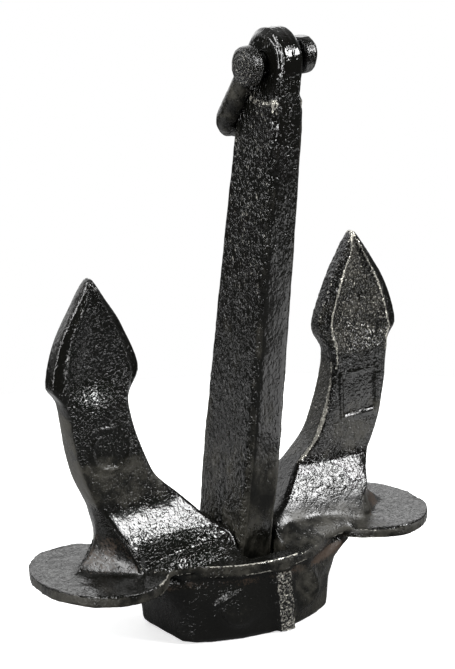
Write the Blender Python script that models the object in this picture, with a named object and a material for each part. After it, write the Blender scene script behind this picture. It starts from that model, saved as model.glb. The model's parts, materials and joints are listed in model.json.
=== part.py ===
"""Small Hall pattern stockless anchor: a swivelling fluke head on a shank with a D shackle.

Frame: +Z up, X from fluke to fluke (the crown pin's axis), the front of the crown towards -Y.
The crown's flat underside stands on the floor at Z = 0. The origin is in the middle of the
footprint of the whole anchor with its shank leaning forward, so the crown is behind it.
"""

import math

import bmesh
import bpy
from mathutils import Matrix, Vector

MM = 0.001
GAP = 0.3                      # clearance kept between touching pieces, mm

# Overall set of the pieces (mm and degrees)
CROWN_Y = 22.0                 # the crown's middle behind the origin
PIVOT_Z = 72.0                 # crown pin axis above the floor
PIN_RUN = 525.0                # crown pin axis to shackle pin axis, along the shank
SHANK_LEAN = 11.1              # lean of the shank towards -Y as it stands
SHACKLE_SWING = 30.0           # angle between the shackle and the shank, on the +Y side

# Crown plate
PLATE_BOTTOM = 73.5
PLATE_TOP = 86.0
LOBE_X = 159.0                 # centre of each round end
LOBE_RX = 65.0
LOBE_RY = 83.0
BELLY_Y = 87.0                 # the middle's convex edge at x = 0
BELLY_DROP = 30.0              # how far that edge falls back at BELLY_X
BELLY_X = 78.0

# Throat and seats in the crown
THROAT_HALF_X = 23.5
THROAT_HALF_Y = 68.0           # at the plate's top
THROAT_WAIST_Y = 51.5          # where its end slopes change
THROAT_WAIST_Z = 66.0
THROAT_LOW_Y = 46.0            # round the shank's foot
THROAT_LOW_Z = 56.0
THROAT_CLEAR_Y = 94.0          # above the plate, past both ramps
THROAT_CLEAR_Z = 200.0
BELOW = -2.0                   # cuts start below the underside
PIN_R = 15.0
PIN_HALF = 62.0
STOP_X = 38.0
STOP_R = 10.0
STOP_Z = PIVOT_Z - PIN_R - STOP_R - 3.0
STOP_HALF = 73.0
BOSS_R = 21.0
BOSS_Z = 39.0
BOSS_Y = 74.0
RIB_ROOT_Y = 50.0              # the rib's buried back
RIB_FOOT = ((5.0, 77.5), (25.0, 76.5))     # x and depth of its two edges at RIB_FOOT_Z
RIB_FOOT_Z = 1.0
RIB_HEAD = ((-8.0, 86.5), (14.5, 86.0))    # the same at RIB_HEAD_Z
RIB_HEAD_Z = 76.0

# Shank: distance above the pivot, half width (X), half depth (Y), corner bevel
SHANK_RINGS = (
    (0.0, 21.3, 41.0, 5.0),
    (24.0, 21.3, 41.4, 5.5),
    (54.0, 21.2, 42.0, 6.0),
    (86.0, 21.1, 43.6, 6.0),
    (120.0, 20.9, 43.6, 6.0),
    (278.0, 19.9, 40.0, 6.0),
    (353.0, 19.1, 38.2, 6.0),
    (435.0, 18.6, 37.2, 7.0),
    (460.0, 18.5, 36.4, 7.5),
    (488.0, 18.4, 33.4, 7.5),
    (508.0, 18.3, 31.0, 7.5),
    (525.0, 18.3, 29.8, 7.5),
)
EYE_R = 31.5
EYE_BLANK_HALF = 18.2          # the eye before it is thinned
EYE_HALF = 14.5
RECESS_R = 41.0
SHANK_FOOT_R = 41.0
PAST = 60.0                    # holes are cut from this far outside

# Shackle
ROD_R = 9.4
LEG_X = 28.3                   # leg centres, and the radius of the bow
LUG_R = 19.2
LUG_INNER = 22.0
LUG_OUTER = 38.5
LUG_BEVEL = 3.0
LEG_TOP = 10.0                 # where the bar starts, inside the lug
LEG_RUN = 68.0                 # pin axis to the start of the bow
BOLT_R = 9.5
BOLT_HALF = 39.4
BOLT_BEVEL = 1.2


def new_object(name, bm, material, smooth_angle=None):
    """Turn a bmesh in millimetres into an object in metres."""
    bmesh.ops.scale(bm, vec=(MM, MM, MM), verts=bm.verts)
    bmesh.ops.recalc_face_normals(bm, faces=bm.faces)
    mesh = bpy.data.meshes.new(name)
    bm.to_mesh(mesh)
    bm.free()
    if smooth_angle is not None:
        mesh.shade_smooth()
        mesh.set_sharp_from_angle(angle=math.radians(smooth_angle))
    obj = bpy.data.objects.new(name, mesh)
    bpy.context.scene.collection.objects.link(obj)
    if material is not None:
        mesh.materials.append(material)
    return obj


def make_material(name, colour, roughness, metallic):
    """One Principled material."""
    mat = bpy.data.materials.new(name)
    mat.use_nodes = True
    shader = mat.node_tree.nodes["Principled BSDF"]
    shader.inputs["Base Color"].default_value = (*colour, 1.0)
    shader.inputs["Roughness"].default_value = roughness
    shader.inputs["Metallic"].default_value = metallic
    return mat


def loft(rings, bm=None):
    """Bridge rings of equally many points into one closed body."""
    bm = bm or bmesh.new()
    rows = [[bm.verts.new(point) for point in ring] for ring in rings]
    count = len(rings[0])
    for low, high in zip(rows, rows[1:]):
        for i in range(count):
            j = (i + 1) % count
            bm.faces.new((low[i], low[j], high[j], high[i]))
    bm.faces.new(list(reversed(rows[0])))
    bm.faces.new(rows[-1])
    return bm


def cylinder(radius, start, end, segments=32):
    """A capped cylinder between two points."""
    bm = bmesh.new()
    start = Vector(start)
    end = Vector(end)
    axis = end - start
    turn = axis.to_track_quat("Z", "Y").to_matrix().to_4x4()
    place = Matrix.Translation((start + end) / 2) @ turn
    bmesh.ops.create_cone(bm, cap_ends=True, segments=segments, radius1=radius, radius2=radius,
                          depth=axis.length, matrix=place)
    return bm


def round_bar(radius, half, bevel, segments):
    """A closed round bar along X about the origin, with bevelled ends."""
    stations = ((-half, radius - bevel), (bevel - half, radius), (half - bevel, radius), (half, radius - bevel))
    rings = []
    for x, r in stations:
        angles = [2.0 * math.pi * k / segments for k in range(segments)]
        rings.append([(x, r * math.cos(t), r * math.sin(t)) for t in angles])
    return loft(rings)


def boolean(target, tool_bm, operation):
    """Join or cut with a closed body, then drop that body."""
    tool = new_object("tool", tool_bm, None)
    modifier = target.modifiers.new(operation, "BOOLEAN")
    modifier.operation = operation
    modifier.solver = "EXACT"
    modifier.object = tool
    graph = bpy.context.evaluated_depsgraph_get()
    mesh = bpy.data.meshes.new_from_object(target.evaluated_get(graph))
    target.modifiers.clear()
    old = target.data
    target.data = mesh
    bpy.data.meshes.remove(old)
    bpy.data.objects.remove(tool)


# ---------------------------------------------------------------- crown plate and box

def plate_edge(x):
    """Half depth of the plate's plan outline at x."""
    x = abs(x)
    belly = BELLY_Y - BELLY_DROP * (x / BELLY_X) ** 2
    reach = (x - LOBE_X) / LOBE_RX
    lobe = LOBE_RY * math.sqrt(max(0.0, 1.0 - reach * reach)) if abs(reach) < 1.0 else 0.0
    return max(belly if x < LOBE_X else 0.0, lobe)


def plate_outline():
    """Plan outline of the crown plate, counterclockwise."""
    side = [x * 10.0 for x in range(0, 10)]
    side += [x * 3.5 for x in range(28, 31)]
    side += [LOBE_X + LOBE_RX * math.sin(math.radians(a)) for a in range(-50, 91, 10)]
    right = [(x, plate_edge(x)) for x in side]
    front_right = [(x, -y) for x, y in right]
    back_right = [(x, y) for x, y in reversed(right[:-1])]
    loop = front_right + back_right
    back_left = [(-x, y) for x, y in right[1:]]
    front_left = [(-x, -y) for x, y in reversed(right[1:-1])]
    return loop + back_left + front_left


CORNER_CUT = 8.0
PLATE_LIP = 1.5                # the plate stands this far out over the box

# Crown box under the plate: height, half width, front depth at x = 0, front depth at the ends
CROWN_RINGS = (
    (0.0, 84.0, 66.5, 38.0),
    (5.0, 89.0, 71.0, 43.0),
    (36.0, 91.5, 75.0, 44.0),
    (50.0, 100.5, 77.5, 43.0),
    (61.0, 112.5, 79.5, 40.0),
    (69.0, 125.0, 81.0, 36.0),
    (74.0, 137.0, 82.0, 30.0),
    (78.0, 139.0, 82.0, 30.0),
)


def crown_ring(height, half, front, corner):
    """One level of the crown box: a convex front and back, with bevelled corners."""
    xs = [half - CORNER_CUT, half * 0.7, half * 0.35, 0.0, -half * 0.35, -half * 0.7, CORNER_CUT - half]
    front_row = []
    for x in xs:
        depth = front - (front - corner) * (x / half) ** 2
        front_row.append((-x, -min(depth, plate_edge(x) - PLATE_LIP), height))
    side_y = corner - min(6.0, corner * 0.4)
    ring = list(front_row)
    ring.append((half, -side_y, height))
    ring.append((half, side_y, height))
    ring += [(x, -y, z) for x, y, z in reversed(front_row)]
    ring.append((-half, side_y, height))
    ring.append((-half, -side_y, height))
    return ring


# ---------------------------------------------------------------- flukes

# Profiles of a fluke up its height, each as (height, size). They are joined by smooth curves.
FLUKE_FOOT = 80.0              # inside the plate
FLUKE_TIP = 382.0
FLUKE_LEVELS = 46
RIM_OUTER = (                  # outer edge of the front and back faces
    (80.0, 129.0), (98.0, 135.0), (110.0, 142.0), (147.0, 160.5), (182.0, 177.0), (210.0, 184.5),
    (264.0, 194.5), (279.0, 205.0), (314.0, 197.5), (382.0, 157.5),
)
GUSSET = (                     # outer edge at mid depth, which runs out over the lobe as a gusset
    (80.0, 189.0), (86.0, 188.0), (98.0, 173.0), (126.0, 160.5), (147.0, 162.8), (170.0, 172.5),
    (226.0, 188.0), (264.0, 194.5), (279.0, 205.0), (300.0, 201.5), (355.0, 175.5), (382.0, 157.5),
)
RIM_INNER = (
    (80.0, 10.0), (104.0, 20.0), (118.0, 40.0), (147.0, 67.0), (182.0, 100.0), (257.0, 120.8),
    (286.0, 107.0), (328.0, 121.5), (382.0, 153.0),
)
RIM_HALF = (                   # half depth at the edges
    (80.0, 45.0), (86.0, 45.0), (92.0, 43.0), (98.0, 40.3), (119.0, 30.2), (145.0, 17.0), (150.0, 14.6),
    (156.0, 14.1), (210.0, 12.6), (279.0, 8.0), (367.0, 7.0), (382.0, 4.5),
)
BAND_WIDTH = ((80.0, 3.0), (257.0, 4.0), (286.0, 13.5), (355.0, 9.0), (382.0, 1.2))
BAND_HALF = (                  # half depth at the band's ridge
    (80.0, 46.0), (86.0, 46.0), (98.0, 42.0), (119.0, 32.0), (145.0, 18.7), (150.0, 16.3), (156.0, 15.8),
    (257.0, 14.8), (264.0, 13.8), (367.0, 10.5), (382.0, 5.0),
)
DISH_HALF = (                  # half depth in the middle, which is sunk in the palm
    (80.0, 46.0), (86.0, 46.0), (98.0, 42.0), (119.0, 32.0), (145.0, 18.7), (150.0, 16.3), (156.0, 15.8),
    (242.0, 15.3), (254.0, 14.4), (262.0, 11.6), (270.0, 7.8), (278.0, 5.5), (288.0, 4.7), (330.0, 4.8),
    (360.0, 5.6), (377.0, 6.4), (382.0, 5.0),
)
FOOT_SHARE = (                 # how much of the foot's spread there is at each height
    (80.0, 1.0), (86.0, 1.0), (92.0, 0.72), (98.0, 0.47), (105.0, 0.24), (112.0, 0.09), (119.0, 0.0),
    (382.0, 0.0),
)
FOOT_SPREAD = (8.0, 14.0, 19.0)  # how far the foot runs out over the plate: outside, middle, inside


def slope_at(profile, i):
    """Slope of a profile's curve at point i, level where the profile turns back."""
    if i in (0, len(profile) - 1):
        i = max(1, i)
        return (profile[i][1] - profile[i - 1][1]) / (profile[i][0] - profile[i - 1][0])
    before = (profile[i][1] - profile[i - 1][1]) / (profile[i][0] - profile[i - 1][0])
    after = (profile[i + 1][1] - profile[i][1]) / (profile[i + 1][0] - profile[i][0])
    return 2.0 * before * after / (before + after) if before * after > 0.0 else 0.0


def read_profile(profile, height):
    """Size at a height, on a smooth curve through the profile's points."""
    i = 0
    while i < len(profile) - 2 and height > profile[i + 1][0]:
        i += 1
    low, high = profile[i], profile[i + 1]
    span = high[0] - low[0]
    t = (height - low[0]) / span
    start = slope_at(profile, i) * span
    end = slope_at(profile, i + 1) * span
    return (
        low[1] * (2.0 * t ** 3 - 3.0 * t ** 2 + 1.0)
        + start * (t ** 3 - 2.0 * t ** 2 + t)
        + high[1] * (3.0 * t ** 2 - 2.0 * t ** 3)
        + end * (t ** 3 - t ** 2)
    )


def fluke_ring(height, side):
    """One level of a fluke, side +1 right or -1 left."""
    outer = read_profile(RIM_OUTER, height)
    inner = read_profile(RIM_INNER, height)
    gusset = max(outer, read_profile(GUSSET, height))
    edge = read_profile(RIM_HALF, height)
    ridge = read_profile(BAND_HALF, height)
    dish = read_profile(DISH_HALF, height)
    spread = [size * read_profile(FOOT_SHARE, height) for size in FOOT_SPREAD]
    width = outer - inner
    band = min(read_profile(BAND_WIDTH, height), width * 0.3)
    inset = band + (width - 2.0 * band) * 0.22
    front = [
        (outer, -edge),
        (outer - band, -ridge),
        (outer - inset, -dish - spread[0]),
        ((outer + inner) / 2, -dish - spread[1]),
        (inner + inset, -dish - spread[2]),
        (inner + band, -ridge),
        (inner, -edge),
    ]
    loop = [(gusset, 0.0)] + front + [(inner, 0.0)] + [(x, -y) for x, y in reversed(front)]
    if side < 0:
        loop = [(-x, y) for x, y in reversed(loop)]
    return [(x, y, height) for x, y in loop]


# ---------------------------------------------------------------- pieces

def throat_cutter():
    """The slot that the shank passes through, flared for its swing and open below."""
    half = [
        (THROAT_LOW_Y, BELOW),
        (THROAT_LOW_Y, THROAT_LOW_Z),
        (THROAT_WAIST_Y, THROAT_WAIST_Z),
        (THROAT_HALF_Y, PLATE_TOP + GAP),
        (THROAT_CLEAR_Y, PLATE_TOP + GAP),
        (THROAT_CLEAR_Y, THROAT_CLEAR_Z),
    ]
    profile = half + [(-y, z) for y, z in reversed(half)]
    return loft([[(x, y, z) for y, z in profile] for x in (-THROAT_HALF_X, THROAT_HALF_X)])


def seat_cutter():
    """The channel under both trunnions: an arch at the pivot's height, open below."""
    radius = PIN_R + GAP
    arch = [(radius * math.cos(math.radians(a)), PIVOT_Z + radius * math.sin(math.radians(a)))
            for a in range(0, 181, 12)]
    profile = [(radius, BELOW)] + arch + [(-radius, BELOW)]
    reach = PIN_HALF + 2.0
    return loft([[(x, y, z) for y, z in profile] for x in (-reach, reach)])


def build_head(material):
    """Crown and both flukes: one casting."""
    plan = plate_outline()
    body = loft([[(x, y, z) for x, y in plan] for z in (PLATE_BOTTOM, PLATE_TOP)])
    head = new_object("head", body, material)
    boolean(head, loft([crown_ring(*row) for row in CROWN_RINGS]), "UNION")
    for side in (-1, 1):
        steps = [k / FLUKE_LEVELS for k in range(FLUKE_LEVELS + 1)]
        heights = [FLUKE_FOOT + (FLUKE_TIP - FLUKE_FOOT) * step for step in steps]
        boolean(head, loft([fluke_ring(height, side) for height in heights]), "UNION")
    for side in (-1, 1):
        boss = cylinder(BOSS_R, (side * STOP_X, -BOSS_Y, BOSS_Z), (side * STOP_X, BOSS_Y, BOSS_Z), 28)
        boolean(head, boss, "UNION")
    rib = []
    for (left, right), height in ((RIB_FOOT, RIB_FOOT_Z), (RIB_HEAD, RIB_HEAD_Z)):
        rib.append([
            (left[0], -RIB_ROOT_Y, height),
            (left[0], -left[1], height),
            (right[0], -right[1], height),
            (right[0], -RIB_ROOT_Y, height),
        ])
    boolean(head, loft(rib), "UNION")
    boolean(head, throat_cutter(), "DIFFERENCE")
    boolean(head, seat_cutter(), "DIFFERENCE")
    for side in (-1, 1):
        ends = [(side * STOP_X, y, STOP_Z) for y in (-THROAT_CLEAR_Y, THROAT_CLEAR_Y)]
        hole = cylinder(STOP_R + GAP, ends[0], ends[1], 28)
        boolean(head, hole, "DIFFERENCE")
    return head


def shank_ring(run, half_x, half_y, bevel):
    """One level of the shank, a rectangle with bevelled corners, about the pivot."""
    a = half_x
    b = half_y
    c = bevel
    loop = [(a - c, -b), (a, -b + c), (a, b - c), (a - c, b),
            (-a + c, b), (-a, b - c), (-a, -b + c), (-a + c, -b)]
    return [(x, y, run) for x, y in loop]


def build_shank(material):
    """Shank with its eye, rounded foot and crown pin hole, in its own upright frame."""
    shank = new_object("shank", loft([shank_ring(*row) for row in SHANK_RINGS]), material)
    width = SHANK_RINGS[0][1]
    boolean(shank, cylinder(SHANK_FOOT_R, (-width, 0, 0), (width, 0, 0), 48), "UNION")
    eye = cylinder(EYE_R, (-EYE_BLANK_HALF, 0, PIN_RUN), (EYE_BLANK_HALF, 0, PIN_RUN), 48)
    boolean(shank, eye, "UNION")
    for side in (-1, 1):
        recess = cylinder(RECESS_R, (side * EYE_HALF, 0, PIN_RUN), (side * PAST, 0, PIN_RUN), 48)
        boolean(shank, recess, "DIFFERENCE")
    boolean(shank, cylinder(PIN_R + GAP, (-PAST, 0, 0), (PAST, 0, 0)), "DIFFERENCE")
    boolean(shank, cylinder(BOLT_R + GAP, (-PAST, 0, PIN_RUN), (PAST, 0, PIN_RUN), 24), "DIFFERENCE")
    return shank


def rod_path():
    """Centre line of the shackle's U, from lug to lug, hanging along -Z from the pin."""
    stations = [LEG_TOP, LEG_RUN * 0.6, LEG_RUN]
    points = [(-LEG_X, 0.0, -z) for z in stations]
    for a in range(15, 166, 15):
        angle = math.radians(a)
        points.append((-LEG_X * math.cos(angle), 0.0, -LEG_RUN - LEG_X * math.sin(angle)))
    points += [(LEG_X, 0.0, -z) for z in reversed(stations)]
    return points


def sweep(points, radius, sides=16):
    """A round bar along a path in the XZ plane."""
    rings = []
    for i, point in enumerate(points):
        before = Vector(points[max(0, i - 1)])
        after = Vector(points[min(len(points) - 1, i + 1)])
        along = (after - before).normalized()
        across = Vector((0.0, 1.0, 0.0))
        side = along.cross(across)
        ring = []
        for k in range(sides):
            angle = 2.0 * math.pi * k / sides
            ring.append(Vector(point) + radius * (math.cos(angle) * side + math.sin(angle) * across))
        rings.append(ring)
    return loft(rings)


def build_shackle(material):
    """D shackle: a bar bent to a U with a flattened round lug at each end."""
    shackle = new_object("shackle", sweep(rod_path(), ROD_R), material)
    for side in (-1, 1):
        lug = round_bar(LUG_R, (LUG_OUTER - LUG_INNER) / 2, LUG_BEVEL, 36)
        bmesh.ops.translate(lug, vec=(side * (LUG_OUTER + LUG_INNER) / 2, 0, 0), verts=lug.verts)
        boolean(shackle, lug, "UNION")
    boolean(shackle, cylinder(BOLT_R + GAP, (-PAST, 0, 0), (PAST, 0, 0), 24), "DIFFERENCE")
    return shackle


def main():
    for obj in list(bpy.data.objects):
        bpy.data.objects.remove(obj)
    black = make_material("black_paint_cast", (0.022, 0.022, 0.023), 0.36, 0.0)
    worn = make_material("black_paint_forged", (0.030, 0.030, 0.030), 0.40, 0.0)
    steel = make_material("black_paint_pin", (0.026, 0.026, 0.027), 0.34, 0.0)

    head = build_head(black)
    head.location = (0.0, CROWN_Y * MM, 0.0)

    crown_hub = bpy.data.objects.new("shank_pivot", None)
    crown_hub.location = (0.0, CROWN_Y * MM, PIVOT_Z * MM)
    crown_hub.rotation_euler = (math.radians(SHANK_LEAN), 0.0, 0.0)
    bpy.context.scene.collection.objects.link(crown_hub)

    shank = build_shank(worn)
    shank.parent = crown_hub
    pin = new_object("crown_pin", cylinder(PIN_R, (-PIN_HALF, 0, 0), (PIN_HALF, 0, 0)), steel)
    pin.parent = crown_hub

    for side, name in ((-1, "stop_pin_left"), (1, "stop_pin_right")):
        bar = cylinder(STOP_R, (0, -STOP_HALF, 0), (0, STOP_HALF, 0), 28)
        stop = new_object(name, bar, steel)
        stop.location = (side * STOP_X * MM, CROWN_Y * MM, STOP_Z * MM)

    shackle_hub = bpy.data.objects.new("shackle_pivot", None)
    shackle_hub.parent = crown_hub
    shackle_hub.location = (0.0, 0.0, PIN_RUN * MM)
    shackle_hub.rotation_euler = (math.radians(SHACKLE_SWING), 0.0, 0.0)
    bpy.context.scene.collection.objects.link(shackle_hub)
    shackle = build_shackle(worn)
    shackle.parent = shackle_hub
    bolt = new_object("shackle_pin", round_bar(BOLT_R, BOLT_HALF, BOLT_BEVEL, 24), steel)
    bolt.parent = shackle_hub


main()
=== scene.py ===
import json
import math

import bmesh
import bpy
import numpy as np
from bpy.props import FloatProperty, FloatVectorProperty, IntProperty, PointerProperty
from mathutils import Matrix, Quaternion, Vector, noise


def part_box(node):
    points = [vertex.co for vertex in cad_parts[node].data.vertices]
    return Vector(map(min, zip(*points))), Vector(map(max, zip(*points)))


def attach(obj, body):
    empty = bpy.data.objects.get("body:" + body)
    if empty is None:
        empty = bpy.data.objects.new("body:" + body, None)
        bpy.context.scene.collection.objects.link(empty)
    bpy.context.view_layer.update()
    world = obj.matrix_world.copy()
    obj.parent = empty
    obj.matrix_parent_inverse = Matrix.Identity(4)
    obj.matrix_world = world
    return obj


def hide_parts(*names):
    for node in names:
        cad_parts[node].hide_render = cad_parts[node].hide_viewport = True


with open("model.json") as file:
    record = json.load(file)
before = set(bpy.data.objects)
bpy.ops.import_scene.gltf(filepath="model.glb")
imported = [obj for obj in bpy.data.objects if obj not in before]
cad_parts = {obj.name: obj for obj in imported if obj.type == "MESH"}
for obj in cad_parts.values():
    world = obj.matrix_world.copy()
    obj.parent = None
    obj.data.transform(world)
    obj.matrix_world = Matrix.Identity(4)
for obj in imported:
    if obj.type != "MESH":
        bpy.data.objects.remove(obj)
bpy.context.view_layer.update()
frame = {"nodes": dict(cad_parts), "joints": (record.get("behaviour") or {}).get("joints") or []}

bl_info = {
    "name": "Stockless anchor finish",
    "version": (1, 0, 0),
    "blender": (4, 5, 0),
    "location": "3D View > Sidebar > Anchor",
    "description": "Rough sand-cast surfaces and worn black paint for a small stockless anchor",
    "category": "Object",
}

MM = 0.001
JOINTS = {joint["name"]: joint for joint in frame["joints"]}
CROWN_PIVOT = Vector(JOINTS["shank_tilt"]["pos_m"])
EYE_PIVOT = Vector(JOINTS["shackle_swing"]["pos_m"])
SHANK_AXIS = (EYE_PIVOT - CROWN_PIVOT).normalized()
SHANK_AHEAD = Vector((0.0, -SHANK_AXIS.z, SHANK_AXIS.y))
EYE_HEIGHT = (EYE_PIVOT - CROWN_PIVOT).length / MM
CROWN_Y = CROWN_PIVOT.y
MASKS = ("coarse", "rust", "wear_and_glint", "dull", "dust")


# ------------------------------------------------------------------ settings

class CastingSettings(bpy.types.PropertyGroup):
    """Sizes of the cast surfaces."""

    head_pitch: FloatProperty(
        name="Head pitch", description="Distance between the head's surface points",
        default=2.0 * MM, min=1.0 * MM, unit="LENGTH")
    shank_pitch: FloatProperty(
        name="Shank pitch", description="Distance between the shank's surface points",
        default=1.27 * MM, min=0.8 * MM, unit="LENGTH")
    shackle_pitch: FloatProperty(
        name="Shackle pitch", description="Distance between the shackle's surface points",
        default=0.95 * MM, min=0.6 * MM, unit="LENGTH")
    fillet_rounds: IntProperty(
        name="Fillet rounds", description="How far the inner corners of the castings are filled",
        default=60, min=0)
    edge_rounds: IntProperty(
        name="Edge rounds", description="How far the outer edges of the castings are rounded",
        default=2, min=0)
    swell_height: FloatProperty(
        name="Swell height", description="Height of the castings' broad unevenness",
        default=0.8 * MM, min=0.0, unit="LENGTH")
    lump_height: FloatProperty(
        name="Lump height", description="Height of the lumps left by coarse moulding sand",
        default=0.9 * MM, min=0.0, unit="LENGTH")
    mark_height: FloatProperty(
        name="Mark height", description="Height of the raised lines round the casting marks",
        default=2.0 * MM, min=0.0, unit="LENGTH")


class PaintSettings(bpy.types.PropertyGroup):
    """Colours and gloss of the paint, rust and bare metal."""

    black: FloatVectorProperty(
        name="Black paint", description="Bitumen paint", subtype="COLOR", size=3,
        default=(0.0034, 0.0034, 0.0027), min=0.0, max=1.0)
    dust: FloatVectorProperty(
        name="Olive dust", description="Dried dust on the paint", subtype="COLOR", size=3,
        default=(0.050, 0.047, 0.038), min=0.0, max=1.0)
    rust: FloatVectorProperty(
        name="Rust", description="Rust that shows through thin paint", subtype="COLOR", size=3,
        default=(0.048, 0.031, 0.020), min=0.0, max=1.0)
    # Bare metal, and also the colour of painted highlights: bright flecks and lines.
    bare: FloatVectorProperty(
        name="Bare metal", description="Metal where the paint is rubbed off", subtype="COLOR", size=3,
        default=(0.55, 0.53, 0.47), min=0.0, max=1.0)
    gloss: FloatProperty(
        name="Gloss", description="Roughness of clean paint", subtype="FACTOR",
        default=0.07, min=0.02, max=1.0)
    grain: FloatProperty(
        name="Grain", description="Depth of the sand grain in the paint, as a share of its size",
        default=0.35, min=0.0)


class StudioSettings(bpy.types.PropertyGroup):
    """Floor, lights and camera."""

    floor_colour: FloatVectorProperty(
        name="Floor", description="Colour of the floor", subtype="COLOR", size=3,
        default=(0.86, 0.86, 0.86), min=0.0, max=1.0)
    key_radiance: FloatProperty(
        name="Key light", description="Brightness of the square light to the right of the camera",
        default=30.0, min=0.0)
    side_radiance: FloatProperty(
        name="Side light", description="Brightness of the tall light on the left",
        default=17.0, min=0.0)
    high_radiance: FloatProperty(
        name="High light", description="Brightness of the high light on the left",
        default=14.0, min=0.0)
    back_radiance: FloatProperty(
        name="Back panel", description="Brightness of the white panel behind the anchor",
        default=1.4, min=0.0)
    card_radiance: FloatProperty(
        name="Card", description="Brightness of the low white card on the right",
        default=1.8, min=0.0)
    azimuth: FloatProperty(
        name="Camera azimuth", description="Angle of the camera from the anchor's front round to its left",
        default=math.radians(32.6), unit="ROTATION")
    elevation: FloatProperty(
        name="Camera elevation", description="Angle of the camera above the horizon",
        default=math.radians(15.23), unit="ROTATION")
    roll: FloatProperty(
        name="Camera roll", description="Turn of the camera about its own axis",
        default=math.radians(1.94), unit="ROTATION")
    distance: FloatProperty(
        name="Camera distance", description="Distance from the camera to the point it looks at",
        default=2.5746, unit="LENGTH")


# ------------------------------------------------------------------ surfaces as arrays

def random_at(points, size, seed):
    """Smooth noise from -1 to 1 at each point, with features of that size in metres."""
    shift = np.array((seed * 17.3, seed * 5.1, seed * 9.7))
    return np.array([noise.noise(place) for place in points / size + shift])


def lumps_at(points, size, seed, stretch=(1.0, 1.0, 1.0)):
    """Rounded lumps from 0 in the creases to 1 on top, of that size in metres."""
    shift = np.array((seed * 3.7, seed * 8.3, seed * 1.9))
    places = points / (size * np.array(stretch)) + shift
    nearest = [noise.voronoi(place)[0][0] for place in places]
    return np.clip(1.0 - np.array(nearest) * 1.35, 0.0, 1.0)


def step_between(value, low, high):
    """Smooth step from 0 at low to 1 at high."""
    share = np.clip((value - low) / (high - low), 0.0, 1.0)
    return share * share * (3.0 - 2.0 * share)


def band_between(value, low, high, soft):
    """1 between low and high, with soft ends."""
    above = step_between(value, low - soft, low + soft)
    return above * (1.0 - step_between(value, high - soft, high + soft))


def ridge_at(distance, width):
    """A rounded ridge where a distance is 0."""
    return np.exp(-(distance / width) ** 2)


class Skin:
    """The surface points of an evenly divided mesh, shaped by formulas."""

    def __init__(self, piece):
        self.piece = piece
        mesh = piece.data
        count = len(mesh.vertices)
        points = np.empty(count * 3)
        mesh.vertices.foreach_get("co", points)
        self.points = points.reshape(count, 3)
        pairs = np.empty(len(mesh.edges) * 2, dtype=np.int64)
        mesh.edges.foreach_get("vertices", pairs)
        pairs = pairs.reshape(-1, 2)
        self.first = pairs[:, 0]
        self.second = pairs[:, 1]
        self.degree = np.maximum(np.bincount(pairs.ravel(), minlength=count), 1)

    def averaged(self, values):
        """Mean of each point's neighbours."""
        count = len(self.points)
        total = np.bincount(self.first, values[self.second], count)
        total += np.bincount(self.second, values[self.first], count)
        return total / self.degree

    def relaxed(self, rounds):
        """The points after so many rounds of smoothing, each half way to the neighbours' mean."""
        points = self.points.copy()
        for _ in range(rounds):
            for axis in range(3):
                points[:, axis] += 0.5 * (self.averaged(points[:, axis]) - points[:, axis])
        return points

    def normals(self):
        """Outward unit normal at each point."""
        self.store()
        normals = np.empty(len(self.points) * 3)
        self.piece.data.vertices.foreach_get("normal", normals)
        return normals.reshape(-1, 3)

    def store(self):
        """Write the points back to the mesh."""
        self.piece.data.vertices.foreach_set("co", self.points.ravel())
        self.piece.data.update()

    def standing_out(self, rounds):
        """How far each point stands out from its surroundings, in metres."""
        return np.einsum("ij,ij->i", self.points - self.relaxed(rounds), self.normals())

    def fill_corners(self, rounds, share):
        """Fill inner corners with a fillet and leave outer edges as they are."""
        rise = np.maximum(-self.standing_out(rounds), 0.0)
        self.push(rise * share)

    def round_edges(self, rounds, share=1.0):
        """Round the edges a little."""
        share = np.broadcast_to(share, len(self.points))
        self.points += (self.relaxed(rounds) - self.points) * share[:, None]

    def push(self, height):
        """Move every point along its normal."""
        self.points += self.normals() * height[:, None]

    def keep_inside(self, corners):
        """Hold the points inside a box."""
        self.points = np.clip(self.points, np.array(corners[0]), np.array(corners[1]))

    def paint(self, name, values):
        """Store a mask from 0 to 1 on the points for the material."""
        layer = self.piece.data.attributes.new(name, "FLOAT", "POINT")
        layer.data.foreach_set("value", np.clip(values, 0.0, 1.0).astype(np.float32))


def even_copy(nodes, name, pitch, plugs=()):
    """One closed, evenly divided copy of CAD pieces, with plugs over the gaps between them.

    Each plug is (radius, start, end), a short round bar.
    """
    bm = bmesh.new()
    for node in nodes:
        bm.from_mesh(frame["nodes"][node].data)
    bmesh.ops.remove_doubles(bm, verts=bm.verts, dist=0.01 * MM)
    for radius, start, end in plugs:
        run = Vector(end) - Vector(start)
        turn = run.to_track_quat("Z", "Y").to_matrix().to_4x4()
        place = Matrix.Translation((Vector(start) + Vector(end)) / 2) @ turn
        bmesh.ops.create_cone(bm, cap_ends=True, segments=40, radius1=radius, radius2=radius,
                              depth=run.length, matrix=place)
    mesh = bpy.data.meshes.new(name)
    bm.to_mesh(mesh)
    bm.free()
    piece = bpy.data.objects.new(name, mesh)
    bpy.context.scene.collection.objects.link(piece)
    remesh = piece.modifiers.new("even", "REMESH")
    remesh.mode = "VOXEL"
    remesh.voxel_size = pitch
    graph = bpy.context.evaluated_depsgraph_get()
    piece.data = bpy.data.meshes.new_from_object(piece.evaluated_get(graph))
    piece.modifiers.clear()
    piece.data.name = name
    piece.data.shade_smooth()
    return piece


# ------------------------------------------------------------------ shader building

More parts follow.
